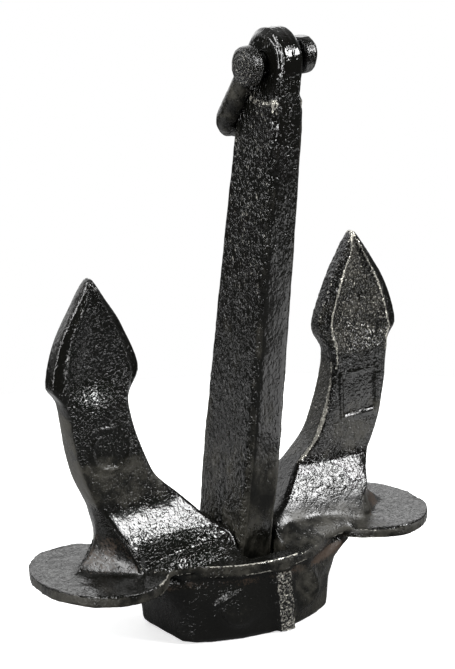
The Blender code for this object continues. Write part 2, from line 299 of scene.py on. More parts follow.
class Value:
    """A shader socket that takes part in Python arithmetic."""

    def __init__(self, paint, socket):
        self.paint = paint
        self.socket = socket

    def maths(self, operation, first, second):
        """The result of one operation on two values."""
        return self.paint.value("ShaderNodeMath", {"operation": operation}, {0: first, 1: second})

    def __add__(self, other):
        return self.maths("ADD", self, other)

    def __radd__(self, other):
        return self.maths("ADD", other, self)

    def __sub__(self, other):
        return self.maths("SUBTRACT", self, other)

    def __rsub__(self, other):
        return self.maths("SUBTRACT", other, self)

    def __mul__(self, other):
        return self.maths("MULTIPLY", self, other)


class Paint:
    """One node tree, built node by node."""

    def __init__(self, tree):
        self.tree = tree
        self.tree.nodes.clear()

    def node(self, kind, settings=None, inputs=None):
        """A node with its settings made first, then its sockets filled or linked."""
        made = self.tree.nodes.new(kind)
        for name, setting in (settings or {}).items():
            setattr(made, name, setting)
        for key, value in (inputs or {}).items():
            if isinstance(value, Value):
                self.tree.links.new(value.socket, made.inputs[key])
            else:
                made.inputs[key].default_value = value
        return made

    def value(self, kind, settings=None, inputs=None, output=0):
        """One output of a new node."""
        return Value(self, self.node(kind, settings, inputs).outputs[output])

    def place(self, stretch=(1.0, 1.0, 1.0)):
        """Position on the piece in metres, with patterns drawn out along the axes."""
        plain = self.value("ShaderNodeTexCoord", output="Object")
        scale = tuple(1.0 / factor for factor in stretch)
        return self.value("ShaderNodeMapping", {}, {"Vector": plain, "Scale": scale})

    def mask(self, name):
        """A mask stored on the piece's points."""
        return self.value("ShaderNodeAttribute", {"attribute_name": name}, output="Fac")

    def noise(self, place, size, detail, roughness):
        """Noise from 0 to 1 with features of that size in metres."""
        inputs = {"Vector": place, "Scale": 1.0 / size, "Detail": detail, "Roughness": roughness}
        return self.value("ShaderNodeTexNoise", {}, inputs)

    def cells(self, place, size, smooth):
        """Distance to the nearest of scattered points, with cells of that size in metres."""
        inputs = {"Vector": place, "Scale": 1.0 / size, "Smoothness": smooth}
        return self.value("ShaderNodeTexVoronoi", {"feature": "SMOOTH_F1"}, inputs, "Distance")

    def between(self, value, low, high):
        """0 below low and 1 above high."""
        settings = {"interpolation_type": "SMOOTHSTEP"}
        return self.value("ShaderNodeMapRange", settings, {0: value, 1: low, 2: high, 3: 0.0, 4: 1.0})

    def mix(self, share, first, second):
        """A colour between two."""
        colours = [value if isinstance(value, Value) else (*value, 1.0) for value in (first, second)]
        inputs = {0: share, 6: colours[0], 7: colours[1]}
        return self.value("ShaderNodeMix", {"data_type": "RGBA"}, inputs, 2)

    def blend(self, share, first, second):
        """A shader between two."""
        return self.value("ShaderNodeMixShader", {}, {0: share, 1: first, 2: second})


def new_material(name):
    """An empty material and the tree to fill."""
    material = bpy.data.materials.new(name)
    material.use_nodes = True
    return material, Paint(material.node_tree)


def cast_paint(name, settings, grain_size, stretch=(1.0, 1.0, 1.0)):
    """Thick black paint over sand-cast steel, with masks for grain, rust, worn metal with painted highlights,
    gloss and dust.
    """
    material, paint = new_material(name)
    place = paint.place(stretch)
    coarse, rust, wear_and_glint, dull, dust = (paint.mask(mask) for mask in MASKS)
    lumps = paint.cells(place, grain_size, 0.35)
    fine = paint.noise(place, grain_size * 0.5, 1.0, 0.5)
    broad = paint.noise(place, grain_size * 4.0, 3.0, 0.6)
    patch = paint.noise(place, grain_size * 6.0, 4.0, 0.7)
    sand = paint.between(paint.noise(place, grain_size * 0.7, 1.0, 0.5), 0.52, 0.66)
    pits = paint.between(paint.noise(place, grain_size * 0.8, 1.0, 0.5), 0.26, 0.42)
    flakes = paint.between(paint.noise(place, grain_size * 1.5, 2.0, 0.6), 0.47, 0.55)
    # The height of the surface: lumps, raised sand and flakes where it is coarse, and pits all over.
    depth = grain_size * settings.grain
    height = (0.5 - lumps) * coarse * (depth * 0.7)
    height = height + (fine - 0.5) * (coarse * 0.96 + 0.04) * (depth * 0.6)
    height = height + sand * coarse * (depth * 0.9)
    height = height + flakes * coarse * (depth * 0.7)
    height = height + broad * (depth * 0.5)
    height = height + pits * (coarse * 0.6 + 0.18) * (depth * 0.7)
    # The colour: black paint, then dust, rust and bare metal over it, each in patches that its mask widens.
    # The bare metal colour also paints highlights: bright flecks and lines where light glints.
    dusty = paint.between(patch + dust * 0.4, 0.58, 0.9) * 0.8
    colour = paint.mix(dusty, tuple(settings.black), tuple(settings.dust))
    rusty = paint.between((patch - 0.5) * 0.9 + (fine - 0.5) * 0.5 + rust, 0.42, 0.78)
    colour = paint.mix(rusty, colour, tuple(settings.rust))
    # Worn bare spots, and bright flecks and lines of the same colour that are painted highlights.
    rubbed = paint.between((fine - 0.5) * 0.9 + wear_and_glint, 0.55, 0.8)
    colour = paint.mix(rubbed, colour, tuple(settings.bare))
    roughness = settings.gloss + paint.between(broad, 0.4, 0.75) * 0.04
    roughness = roughness + (dusty + rusty) * 0.3 + dull * 0.18
    bump = paint.value("ShaderNodeBump", {}, {"Strength": 1.0, "Distance": 1.0, "Height": height})
    shader = paint.value("ShaderNodeBsdfPrincipled", {}, {
        "Base Color": colour,
        "Roughness": roughness,
        "Metallic": rubbed * 0.5,
        "Normal": bump,
    })
    paint.node("ShaderNodeOutputMaterial", {}, {"Surface": shader})
    return material


# ------------------------------------------------------------------ places on the pieces

# Places on the head are in millimetres: x across from its middle, y back from the crown's pivot and z up
# from its underside. These heights part the crown's plate, a fluke's ramp, its arm and its palm.
FLANGE_TOP = 85.5
RAMP_FOOT = 88.0
RAMP_MIDDLE = 118.0
RAMP_TOP = 150.0
ARM_MIDDLE = 205.0
PALM_FOOT = 250.0

# The throat round the shank's foot, as half widths across and from front to back.
THROAT_HALF_WIDTH = 66.0
THROAT_HALF_DEPTH = 52.0

# The stop pins, and how far back from the pivot a plug at a pin's end starts and stops.
STOP_PIN_X = 38.0
STOP_PIN_Z = 44.0
STOP_PIN_PLUG = (50.0, 73.2)

# Profiles of a fluke up its height, each as (height, size).
RIM_OUTER = ((210.0, 184.5), (264.0, 194.5), (279.0, 205.0), (314.0, 197.5), (382.0, 157.5))
RIM_INNER = ((182.0, 100.0), (257.0, 120.8), (286.0, 107.0), (328.0, 121.5), (382.0, 153.0))
BAND_WIDTH = ((80.0, 3.0), (257.0, 4.0), (286.0, 13.5), (355.0, 9.0), (382.0, 1.2))
RIDGE_HALF = ((156.0, 15.8), (257.0, 14.8), (264.0, 13.8), (367.0, 10.5), (382.0, 5.0))
DISH_HALF = (
    (242.0, 15.3), (254.0, 14.4), (262.0, 11.6), (270.0, 7.8), (278.0, 5.5), (288.0, 4.7), (330.0, 4.8),
    (360.0, 5.6), (377.0, 6.4), (382.0, 5.0),
)

# The casting marks on the front of the arms, by their middles across and up the head.
RING_CENTRE = (-147.0, 211.0)
RING_RADIUS = 21.0
SQUARE_CENTRE = (151.0, 213.0)
SQUARE_HALF = (22.0, 23.0)

# The gusset from an arm's outer side: the place of its ridge, the reach of its tip, its length and height.
GUSSET_Y = 11.0
GUSSET_TIP = 184.0
GUSSET_LENGTH = 27.0
GUSSET_HEIGHT = 32.0


def read_profile(profile, height):
    """Size at each height, on a smooth curve through the profile's points."""
    at, size = np.array(profile).T
    run = np.diff(at)
    rise = np.diff(size) / run
    both = rise[:-1] * rise[1:]
    total = np.where(both > 0.0, rise[:-1] + rise[1:], 1.0)
    middle = np.where(both > 0.0, 2.0 * both / total, 0.0)
    slope = np.concatenate((rise[:1], middle, rise[-1:]))
    i = np.clip(np.searchsorted(at, height) - 1, 0, len(at) - 2)
    t = np.clip((height - at[i]) / run[i], 0.0, 1.0)
    start = size[i] * (2.0 * t ** 3 - 3.0 * t ** 2 + 1.0) + slope[i] * run[i] * (t ** 3 - 2.0 * t ** 2 + t)
    end = size[i + 1] * (3.0 * t ** 2 - 2.0 * t ** 3) + slope[i + 1] * run[i] * (t ** 3 - t ** 2)
    return start + end


def palm_across(x, z):
    """Place across a palm, 0 in its middle and 1 where its rim starts, and the millimetres between the two."""
    outer = read_profile(RIM_OUTER, z)
    inner = read_profile(RIM_INNER, z)
    band = np.minimum(read_profile(BAND_WIDTH, z), (outer - inner) * 0.3)
    half = (outer - inner) / 2.0 - band
    return np.abs(np.abs(x) - (outer + inner) / 2.0) / half, half


def head_place(points):
    """Millimetres across the head, back from the crown's pivot and up from the underside."""
    local = (points - np.array((0.0, CROWN_Y, 0.0))) / MM
    return local[:, 0], local[:, 1], local[:, 2]


def shank_place(points):
    """Millimetres across the shank, in front of its middle, and up it from the crown's pivot."""
    local = (points - np.array(CROWN_PIVOT)) / MM
    return local[:, 0], local @ np.array(SHANK_AHEAD), local @ np.array(SHANK_AXIS)


def shackle_place(points):
    """Millimetres across and up from the middle of the shackle's pin, and out from the pin's axis."""
    local = (points - np.array(EYE_PIVOT)) / MM
    return local[:, 0], local[:, 2], np.hypot(local[:, 1], local[:, 2])


def finish_piece(context, piece, skin, masks, body, nodes, slot, grain_size, stretch=(1.0, 1.0, 1.0)):
    """Store the masks, give the piece its paint and hang it on its body."""
    for name in MASKS:
        skin.paint(name, np.broadcast_to(masks.get(name, 0.0), len(skin.points)))
    piece.data.materials.clear()
    piece.data.materials.append(cast_paint(slot, context.scene.anchor_paint, grain_size, stretch))
    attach(piece, body)
    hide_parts(*nodes)


# ------------------------------------------------------------------ head

class HeadZones:
    """Shares from 0 to 1 of each surface point in the parts of the head, and the way it faces."""

    def __init__(self, skin):
        x, y, z = head_place(skin.points)
        side = np.abs(x)
        self.x = x
        self.y = y
        self.z = z
        self.normals = skin.normals()
        self.level = np.abs(self.normals[:, 2])
        self.facing = step_between(np.abs(self.normals[:, 1]), 0.45, 0.8)
        self.sideways = step_between(np.abs(self.normals[:, 0]), 0.6, 0.9)
        self.upright = 1.0 - step_between(self.level, 0.3, 0.6)
        self.rim = step_between(skin.standing_out(5) / MM, 0.12, 0.4)
        self.left = 1.0 - step_between(x, -5.0, 5.0)
        self.right = 1.0 - self.left

        self.box = 1.0 - step_between(z, 68.0, 74.0)
        self.rib = self.box * (np.abs(x - 16.5 + 0.145 * z) < 10.5) * (y < -71.0)
        self.crease = ridge_at(np.hypot(x + 52.0, z - 50.0), 9.0) * (y < -60.0)
        self.plate = band_between(z, 72.0, 88.0, 2.0)
        self.throat = (side < THROAT_HALF_WIDTH) & (np.abs(y) < THROAT_HALF_DEPTH) & (z < 90.0)

        self.right_front = step_between(x, 15.0, 35.0) * (x < 150.0) * (y < -25.0)
        self.lower_ramp = band_between(z, 90.0, RAMP_MIDDLE, 4.0) * (1.0 - self.sideways)
        self.upper_ramp = band_between(z, RAMP_MIDDLE, RAMP_TOP, 4.0) * self.facing
        self.gusset = band_between(z, 86.5, 124.0, 2.0) * (side > 136.0) * (side < 180.0)
        self.gusset *= (np.abs(y) < 41.0 - (z - RAMP_FOOT) * 0.4) * (y < 6.0)

        self.low_arm = band_between(z, 152.0, ARM_MIDDLE, 8.0)
        self.high_arm = band_between(z, ARM_MIDDLE, PALM_FOOT, 10.0)
        self.arm = self.low_arm + self.high_arm
        self.inner_side = self.arm * self.sideways * (x > 0.0) * (self.normals[:, 0] < 0.0)

        across, half = palm_across(x, z)
        inner_half = (x > 0.0) * (x < 158.0)
        self.palm = step_between(z, 240.0, 262.0)
        band = self.palm * step_between(across, 1.02, 1.12)
        self.inner_band = band * inner_half
        self.band = band * (1.0 - self.inner_band)
        self.lip = ridge_at((across - 1.0) * half, 1.3) * step_between(z, 275.0, 292.0) * inner_half


class ANCHOR_OT_head(bpy.types.Operator):
    """Cast the crown and both flukes, with the stop pins painted in."""

    bl_idname = "anchor.head"
    bl_label = "Head"

    def execute(self, context):
        casting = context.scene.anchor_casting
        nodes = ("head", "stop_pin_left", "stop_pin_right")
        piece = even_copy(nodes, "cast_head", casting.head_pitch, self.stop_pin_plugs())
        skin = Skin(piece)
        self.fill(skin, casting)
        self.scoop(skin)
        self.flare(skin)
        calm = self.mark(skin, casting)
        zones = HeadZones(skin)
        coarse = self.coarseness(zones, calm)
        self.roughen(skin, casting, zones, coarse)
        masks = {
            "coarse": coarse,
            "rust": self.rust(zones),
            "wear_and_glint": self.wear_and_glint(zones),
            "dull": self.dullness(zones),
            "dust": self.dust(zones),
        }
        skin.keep_inside(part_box("head"))
        skin.store()
        finish_piece(context, piece, skin, masks, "head", nodes, "head_paint", 4.2 * MM)
        return {"FINISHED"}

    def stop_pin_plugs(self):
        """Short bars that close the gaps between the stop pins' ends and their bosses."""
        plugs = []
        for side in (-1.0, 1.0):
            for end in (-1.0, 1.0):
                start, stop = (
                    (side * STOP_PIN_X * MM, CROWN_Y + end * back * MM, STOP_PIN_Z * MM)
                    for back in STOP_PIN_PLUG
                )
                plugs.append((11.0 * MM, start, stop))
        return plugs

    def fill(self, skin, casting):
        """Fill the corners where the flukes meet the crown, and soften the edges."""
        x, y, z = head_place(skin.points)
        side = np.abs(x)
        # The throat's corners stay sharp, so the shank's foot keeps its room.
        fitted = (1.0 - step_between(side, 26.0, 38.0)) * (np.abs(y) < 72.0) * (z < 112.0)
        fitted = np.maximum(fitted, (side < THROAT_HALF_WIDTH) & (np.abs(y) < 18.0) & (z < 90.0))
        under_plate = band_between(z, 60.0, 82.0, 2.0)
        open_cast = (1.0 - fitted) * (1.0 - under_plate) * (1.0 - step_between(z, 225.0, 245.0))
        # The feet of the ramps have tighter corners, and the tightest are at their outer ends.
        foot = band_between(z, 84.0, 112.0, 4.0) * step_between(side, 30.0, 38.0)
        outer_end = band_between(z, 80.0, RAMP_MIDDLE, 4.0) * step_between(side, 132.0, 142.0)
        sharp = foot * np.where(x < 0.0, 0.8, 0.4) * (1.0 - outer_end) + 0.85 * outer_end
        skin.fill_corners(casting.fillet_rounds, open_cast * (1.0 - sharp))
        skin.round_edges(casting.edge_rounds)
        boss = (np.abs(side - STOP_PIN_X) < 27.0) & (np.abs(z - 39.0) < 26.0) & (np.abs(y) > 66.0)
        skin.round_edges(24, boss.astype(float))

    def scoop(self, skin):
        """Hollow both faces of each palm like a spoon, and shape the foot of each ramp."""
        x, y, z = head_place(skin.points)
        facing = step_between(np.abs(skin.normals()[:, 1]), 0.5, 0.8)
        depth = np.abs(y)
        # The palm: a dish that deepens upwards, inside a raised lip.
        across, half = palm_across(x, z)
        dish = read_profile(DISH_HALF, z - 22.0 * np.minimum(across, 1.0) ** 2)
        ridge = read_profile(RIDGE_HALF, z)
        hollow = dish + (ridge - dish) * across ** 2
        palm = step_between(z, 240.0, 252.0) * (1.0 - step_between(z, 366.0, 376.0)) * facing
        depth = depth + (hollow - depth) * palm * (across < 1.0)
        depth = depth + ridge_at((across - 1.0) * half, 1.7) * step_between(z, 258.0, 275.0) * palm
        # The left ramp drops almost straight to the plate.
        down = np.clip(RAMP_MIDDLE - z, 0.0, 30.0)
        wall = 32.6 + down * 0.18 + 2.2 * (1.0 - np.exp(-down / 7.0))
        foot = band_between(z, RAMP_FOOT, RAMP_MIDDLE, 1.5) * band_between(-x, 30.0, 132.0, 4.0) * facing
        depth = depth + np.minimum(wall - depth, 0.0) * foot * (depth < 48.0)
        # The right ramp sweeps out to the plate's edge.
        down = np.clip(RAMP_TOP - z, 0.0, 64.0)
        sweep = 16.5 + down * 0.66 - down ** 2 * 0.0028
        ramp = band_between(z, RAMP_FOOT, 149.0, 1.5) * band_between(x, 30.0, 150.0, 4.0) * facing
        depth = depth + (sweep - depth) * ramp * (depth < 48.0)
        skin.points[:, 1] = CROWN_Y + np.sign(y) * depth * MM

    def flare(self, skin):
        """A gusset from the outer side of each arm out over the flange, between two crisp edges."""
        x, y, z = head_place(skin.points)
        side = np.abs(x)
        rise = z - RAMP_FOOT
        share = np.clip((GUSSET_TIP - side) / GUSSET_LENGTH, 0.0, 1.0)
        width = np.where(y < GUSSET_Y, 3.0 + 14.0 * share, 3.5)
        slope = np.maximum(1.0 - np.abs(y - GUSSET_Y) / width, 0.0)
        top = FLANGE_TOP + GUSSET_HEIGHT * share ** 1.6 * slope
        above = (z > 84.5) & (z < 116.0) & (side > 154.0) & (skin.normals()[:, 2] > 0.1)
        skin.points[:, 2] += np.maximum(top - z, 0.0) * above * MM
        corner = np.hypot(side - 134.0 - rise * 0.26, np.abs(y) - 43.0 + rise * 0.4)
        skin.push(ridge_at(corner, 1.8) * band_between(z, 86.0, 124.0, 3.0) * 2.0 * MM)
        join = band_between(z, 84.0, 112.0, 4.0) * band_between(x, 24.0, 150.0, 3.0) * (y < -30.0)
        skin.round_edges(20, join)

    def mark(self, skin, casting):
        """A round mark on the left arm and a square one on the right, both bare. Returns their areas."""
        x, y, z = head_place(skin.points)
        facing = step_between(-skin.normals()[:, 1], 0.5, 0.8)
        radius = np.hypot(x - RING_CENTRE[0], z - RING_CENTRE[1])
        ring = ridge_at(radius - RING_RADIUS, 1.6) * (1.0 - step_between(z, 222.0, 226.0))
        bar = ridge_at(z - 233.0 - (x + 149.0) * 0.1, 1.5) * band_between(x, -168.0, -142.0, 2.0)
        right = x - SQUARE_CENTRE[0]
        up = z - SQUARE_CENTRE[1] - right * 0.03
        edge = np.maximum(np.abs(right) - SQUARE_HALF[0], np.abs(up) - SQUARE_HALF[1])
        frame_line = ridge_at(edge, 1.5)
        sunk = 1.0 - step_between(edge, -4.0, 0.0)
        height = (np.maximum(ring, bar) + frame_line * 0.75 - sunk * 0.5) * facing
        along = np.clip((x + 63.0) / 24.0, 0.0, 1.0)
        crease = np.hypot(x + 63.0 - 24.0 * along, z - 43.0 - 15.0 * along ** 0.7)
        height = height + 1.4 * ridge_at(crease, 2.4) * (y < -60.0)
        skin.push(height * casting.mark_height)
        return np.maximum(radius < RING_RADIUS + 6.0, edge < 4.0) * facing

    def coarseness(self, zones, calm):
        """How coarse the sand grain is: least on the ramps and marks, most on the palms and the rib."""
        z, left, right, facing = zones.z, zones.left, zones.right, zones.facing
        coarse = 0.12 + 0.25 * zones.crease + 0.84 * zones.rib + 0.45 * zones.inner_side
        coarse -= zones.upper_ramp * (0.1 * left + 0.02 * right)
        coarse += 0.1 * zones.lower_ramp * (left - right)
        coarse += 0.1 * band_between(z, 108.0, 126.0, 4.0) * left * facing
        coarse += 0.06 * zones.low_arm * facing + (0.12 + 0.2 * left) * zones.high_arm * facing
        coarse += zones.palm * (0.18 + 0.24 * step_between(z, 278.0, 295.0) + 0.2 * zones.inner_band)
        coarse += zones.palm * right * (0.2 + 0.4 * (1.0 - step_between(z, 300.0, 340.0)))
        coarse *= (1.0 - 0.85 * zones.band) * (1.0 - 0.5 * calm) * (1.0 - 0.9 * zones.gusset)
        return np.clip(coarse - 0.1 * zones.sideways * zones.arm, 0.02, 1.0)

    def roughen(self, skin, casting, zones, coarse):
        """Broad unevenness, lumps of moulding sand, and drawn-out lumps on the right ramp."""
        lumps = lumps_at(skin.points, 6.0 * MM, 1) - 0.5
        drawn = lumps_at(skin.points, 5.5 * MM, 4, (0.8, 0.8, 1.7)) - 0.5
        right_ramp = zones.upper_ramp * zones.right
        lumps = lumps * np.clip(coarse * 1.2, 0.0, 1.0) * (1.0 - right_ramp) + drawn * 0.6 * right_ramp
        lumps += 1.6 * zones.rib * (lumps_at(skin.points, 5.5 * MM, 9) - 0.5)
        swell = random_at(skin.points, 22.0 * MM, 3)
        lobe = zones.plate * (np.abs(zones.x) > 100.0)
        height = swell * casting.swell_height * (0.6 + 1.2 * lobe) + lumps * casting.lump_height - 0.4 * MM
        skin.push(height * np.where(zones.throat, 0.3, 1.0))

    def wear_and_glint(self, zones):
        """Bare metal on edges that get knocked, and painted highlights: bright lines along the plate's front
        edge, the right arm's inner edge and the gussets' ridges, and bright flecks on the rib and the right
        palm.
        """
        x, y, z, right = zones.x, zones.y, zones.z, zones.right
        plate_front = zones.plate * (y < -30.0) * (np.abs(x) < 135.0)
        # Worn bare edges all round; along the plate's front edge they are mostly a painted highlight line.
        wear_and_glint = zones.rim * (0.12 + 0.2 * step_between(z, 130.0, RAMP_TOP) + 0.65 * plate_front)
        inner_edge = zones.rim * (zones.normals[:, 1] < -0.2) * (zones.normals[:, 0] < -0.2)
        # Painted highlight lines along the right arm's inner front edge and the ridges of the gussets.
        wear_and_glint += 0.65 * inner_edge * zones.arm * right
        wear_and_glint += 0.35 * zones.rim * band_between(z, 86.0, 125.0, 3.0) * (np.abs(x) > 120.0)
        # Painted highlights: bright flecks on the right palm, its inner band and lip, the right arm's inner
        # side and the rib.
        wear_and_glint += 0.5 * zones.palm * right * (1.0 - zones.band) * (1.0 - zones.inner_band)
        wear_and_glint += 0.28 * zones.inner_band + 0.4 * zones.lip + 0.45 * zones.inner_side + 0.58 * zones.rib
        return wear_and_glint

    def rust(self, zones):
        """Rust under the plate, on the right of the crown, on the gussets and round the lobes."""
        rust = 0.2 * zones.rim * zones.plate + 0.5 * zones.gusset
        rust += 0.5 * zones.box * band_between(zones.z, 60.0, 73.0, 4.0) * (zones.y < -40.0)
        rust += 0.3 * zones.box * band_between(zones.x, 50.0, 110.0, 8.0)
        rust += 0.25 * zones.plate * zones.upright * (np.abs(zones.x) > 95.0)
        return rust

    def dullness(self, zones):
        """Where the paint has lost its gloss."""
        dull = 0.8 * zones.box * (1.0 - zones.rib) + 0.5 * zones.plate * (1.0 - zones.level)
        dull += 0.35 * zones.low_arm * zones.facing + 0.4 * zones.sideways - 0.3 * zones.palm
        dull += 0.6 * zones.upper_ramp + zones.gusset
        dull += 1.2 * band_between(zones.z, 84.0, RAMP_MIDDLE, 6.0) * zones.right_front
        return dull

    def dust(self, zones):
        """Where dust has settled in the paint."""
        dust = zones.plate * zones.upright * (0.5 + 0.15 * (np.abs(zones.x) > 100.0))
        dust += 0.9 * zones.arm * zones.sideways * (zones.normals[:, 0] < 0.0)
        dust += 0.5 * zones.low_arm * (1.0 - zones.sideways) + 0.45 * zones.box * (zones.x > 24.0)
        dust += 0.55 * band_between(zones.z, 84.0, 112.0, 6.0) * zones.right_front
        dust += 0.45 * zones.palm * zones.facing * zones.right * (1.0 - zones.band)
        return dust


# ------------------------------------------------------------------ shank

class ANCHOR_OT_shank(bpy.types.Operator):
    """Cast the shank with its eye."""

    bl_idname = "anchor.shank"
    bl_label = "Shank"

    def execute(self, context):
        casting = context.scene.anchor_casting
        piece = even_copy(("shank",), "cast_shank", casting.shank_pitch)
        skin = Skin(piece)
        place = shank_place(skin.points)
        skin.fill_corners(30, (place[2] > 30.0).astype(float))
        skin.round_edges(casting.edge_rounds + 2)
        self.chamfer_eye(skin, *place)
        masks = self.roughen(skin, casting)
        skin.keep_inside(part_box("shank"))
        skin.store()
        drawn_out = (1.0, 1.0, 1.8)
        finish_piece(context, piece, skin, masks, "shank", ("shank",), "shank_paint", 5.0 * MM, drawn_out)
        return {"FINISHED"}

    def chamfer_eye(self, skin, x, forward, up):
        """Take the corners off the eye, all the way round its top."""
        past = np.where(up > EYE_HEIGHT, up - EYE_HEIGHT, 0.0)
        reach = np.where(up > EYE_HEIGHT, np.hypot(forward, past), np.abs(forward))
        over = np.maximum(np.abs(x) + reach - 40.3, 0.0) * step_between(up, 494.0, 500.0) / 2.0
        skin.points[:, 0] -= np.sign(x) * over * MM
        length = np.maximum(np.hypot(forward, past), 1e-6)
        outward = np.outer(forward / length, SHANK_AHEAD) + np.outer(past / length, SHANK_AXIS)
        skin.points -= outward * over[:, None] * MM
        skin.round_edges(3)

    def roughen(self, skin, casting):
        """Coarse grain on the sides and the shoulder under the eye, with bright flecks there that are painted
        highlights. Returns the masks for the paint.
        """
        x, forward, up = shank_place(skin.points)
        normals = skin.normals()
        turned = np.abs(normals[:, 0])
        rim = step_between(skin.standing_out(6) / MM, 0.12, 0.4)
        sideways = step_between(turned, 0.5, 0.8)
        bevel = band_between(turned, 0.4, 0.85, 0.1) * (normals[:, 1] < 0.0)
        eye = step_between(up, 494.0, 500.0)
        shoulder = band_between(up, 484.0, 516.0, 8.0) * (1.0 - step_between(turned, 0.93, 0.99))
        seam = ridge_at(x - 1.5, 0.9) * eye * (1.0 - sideways)
        side_face = sideways * (1.0 - eye)
        high_up = step_between(up, 150.0, 300.0)
        coarse = 0.06 + (0.8 - 0.35 * high_up) * side_face + 0.7 * shoulder
        coarse += 0.3 * band_between(up, 330.0, 480.0, 20.0) * (1.0 - sideways)
        coarse = np.clip(coarse, 0.0, 1.0)
        swell = random_at(skin.points, 22.0 * MM, 5) * casting.swell_height * 0.6
        lumps = lumps_at(skin.points, 6.0 * MM, 2, (1.0, 1.0, 1.7)) - 0.5
        height = swell + lumps * casting.lump_height * coarse * (0.7 + 1.3 * shoulder) - 0.3 * MM
        height = height + (seam * 0.6 + eye * 0.4) * MM
        skin.push(height * np.where(up < 30.0, 0.3, 1.0))
        # Worn bare edges, and bright flecks on the shoulder under the eye that are painted highlights.
        wear_and_glint = rim * (0.2 + 0.2 * eye) * (1.0 - 0.6 * shoulder) + 0.3 * shoulder
        return {
            "coarse": coarse,
            # Bright flecks over the side faces, more of them higher up, are painted glints of light on the
            # grain.
            "wear_and_glint": wear_and_glint + 0.42 * side_face * (0.5 + 0.5 * high_up),
            "dull": 0.5 * (1.0 - sideways) * (1.0 - eye) * (forward > 0.0),
            "dust": 0.5 * (1.0 - step_between(up, 60.0, 250.0)) + 0.35 * bevel * (up < 470.0),
        }


# ------------------------------------------------------------------ shackle and pin

class ANCHOR_OT_shackle(bpy.types.Operator):
    """Forge the shackle, with its pin riveted over at both ends."""

    bl_idname = "anchor.shackle"
    bl_label = "Shackle"

    def execute(self, context):
        casting = context.scene.anchor_casting
        nodes = ("shackle", "shackle_pin")
        plugs = []
        for side in (-1.0, 1.0):
            start = EYE_PIVOT + Vector((side * 26.0 * MM, 0.0, 0.0))
            end = EYE_PIVOT + Vector((side * 38.9 * MM, 0.0, 0.0))
            plugs.append((10.6 * MM, start, end))
        piece = even_copy(nodes, "forged_shackle", casting.shackle_pitch, plugs)
        skin = Skin(piece)
        self.bend(skin, casting)
        masks = self.roughen(skin, casting)
        lower, upper = zip(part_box("shackle"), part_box("shackle_pin"))
        skin.keep_inside((np.minimum(*lower), np.maximum(*upper)))
        skin.store()
        finish_piece(context, piece, skin, masks, "shackle", nodes, "shackle_paint", 2.2 * MM)
        return {"FINISHED"}

    def bend(self, skin, casting):
        """Round the forging, then skew its lugs and shift and thicken its bow by a little."""
        skin.fill_corners(20, np.ones(len(skin.points)))
        skin.round_edges(casting.edge_rounds + 2)
        x, up, radius = shackle_place(skin.points)
        side = np.abs(x)
        skin.round_edges(10, step_between(side, 29.0, 34.0) * (radius < 24.0))
        skin.points[:, 2] += 2.3 * MM * np.sign(x) * step_between(side, 14.0, 24.0)
        skin.points[:, 0] += 3.2 * MM * step_between(-up, 8.0, 45.0)
        skin.push(1.1 * MM * step_between(-up, 15.0, 40.0))

    def roughen(self, skin, casting):
        """Rings turned into the pin's ends, and an uneven surface. Returns the masks for the paint."""
        x, up, radius = shackle_place(skin.points)
        side = np.abs(x)
        ends = step_between(side, 29.0, 34.0) * (radius < 20.0)
        end_face = step_between(np.abs(skin.normals()[:, 0]), 0.6, 0.9) * ends
        rings = np.cos(radius * 2.0 * math.pi / 4.4) * end_face
        swell = random_at(skin.points, 12.0 * MM, 8) * casting.swell_height * 0.6
        lumps = lumps_at(skin.points, 4.0 * MM, 6) - 0.5
        skin.push(swell + (rings * 0.35 + lumps * 0.3 - 0.3) * MM)
        bow = up < -18.0
        lug = radius < 24.0
        return {
            "coarse": 0.15 + 0.3 * end_face + 0.5 * (x < -20.0) * lug,
            "wear_and_glint": 0.55 * end_face * (rings > 0.2),
            "dull": 0.3 + 0.3 * bow,
            "dust": 0.45 * bow,
            "rust": 0.12 * lug * (1.0 - end_face),
        }


class ANCHOR_OT_pins(bpy.types.Operator):
    """Paint the pivot pin inside the crown."""

    bl_idname = "anchor.pins"
    bl_label = "Pivot pin"

    def execute(self, context):
        material = cast_paint("pin_paint", context.scene.anchor_paint, 2.0 * MM)
        for socket in frame["nodes"]["crown_pin"].material_slots:
            socket.material = material
        return {"FINISHED"}


# ------------------------------------------------------------------ stage

def direction_to_light(azimuth, elevation):
    """Unit vector from the anchor towards a light. Azimuth 0 is the front, positive to the left."""
    flat = math.cos(elevation)
    return Vector((-math.sin(azimuth) * flat, -math.cos(azimuth) * flat, math.sin(elevation)))


def soft_box(name, centre, aim, width, height, radiance, spin=0.0):
    """A rectangular light of a given brightness, turned towards a point and spun about its own axis."""
    lamp = bpy.data.lights.new(name, "AREA")
    lamp.shape = "RECTANGLE"
    lamp.size = width
    lamp.size_y = height
    lamp.energy = radiance * math.pi * width * height
    light = bpy.data.objects.new(name, lamp)
    light.location = centre
    light.rotation_mode = "QUATERNION"
    turn = (aim - centre).to_track_quat("-Z", "Y")
    light.rotation_quaternion = turn @ Quaternion((0.0, 0.0, 1.0), spin)
    light.visible_camera = False
    bpy.context.scene.collection.objects.link(light)


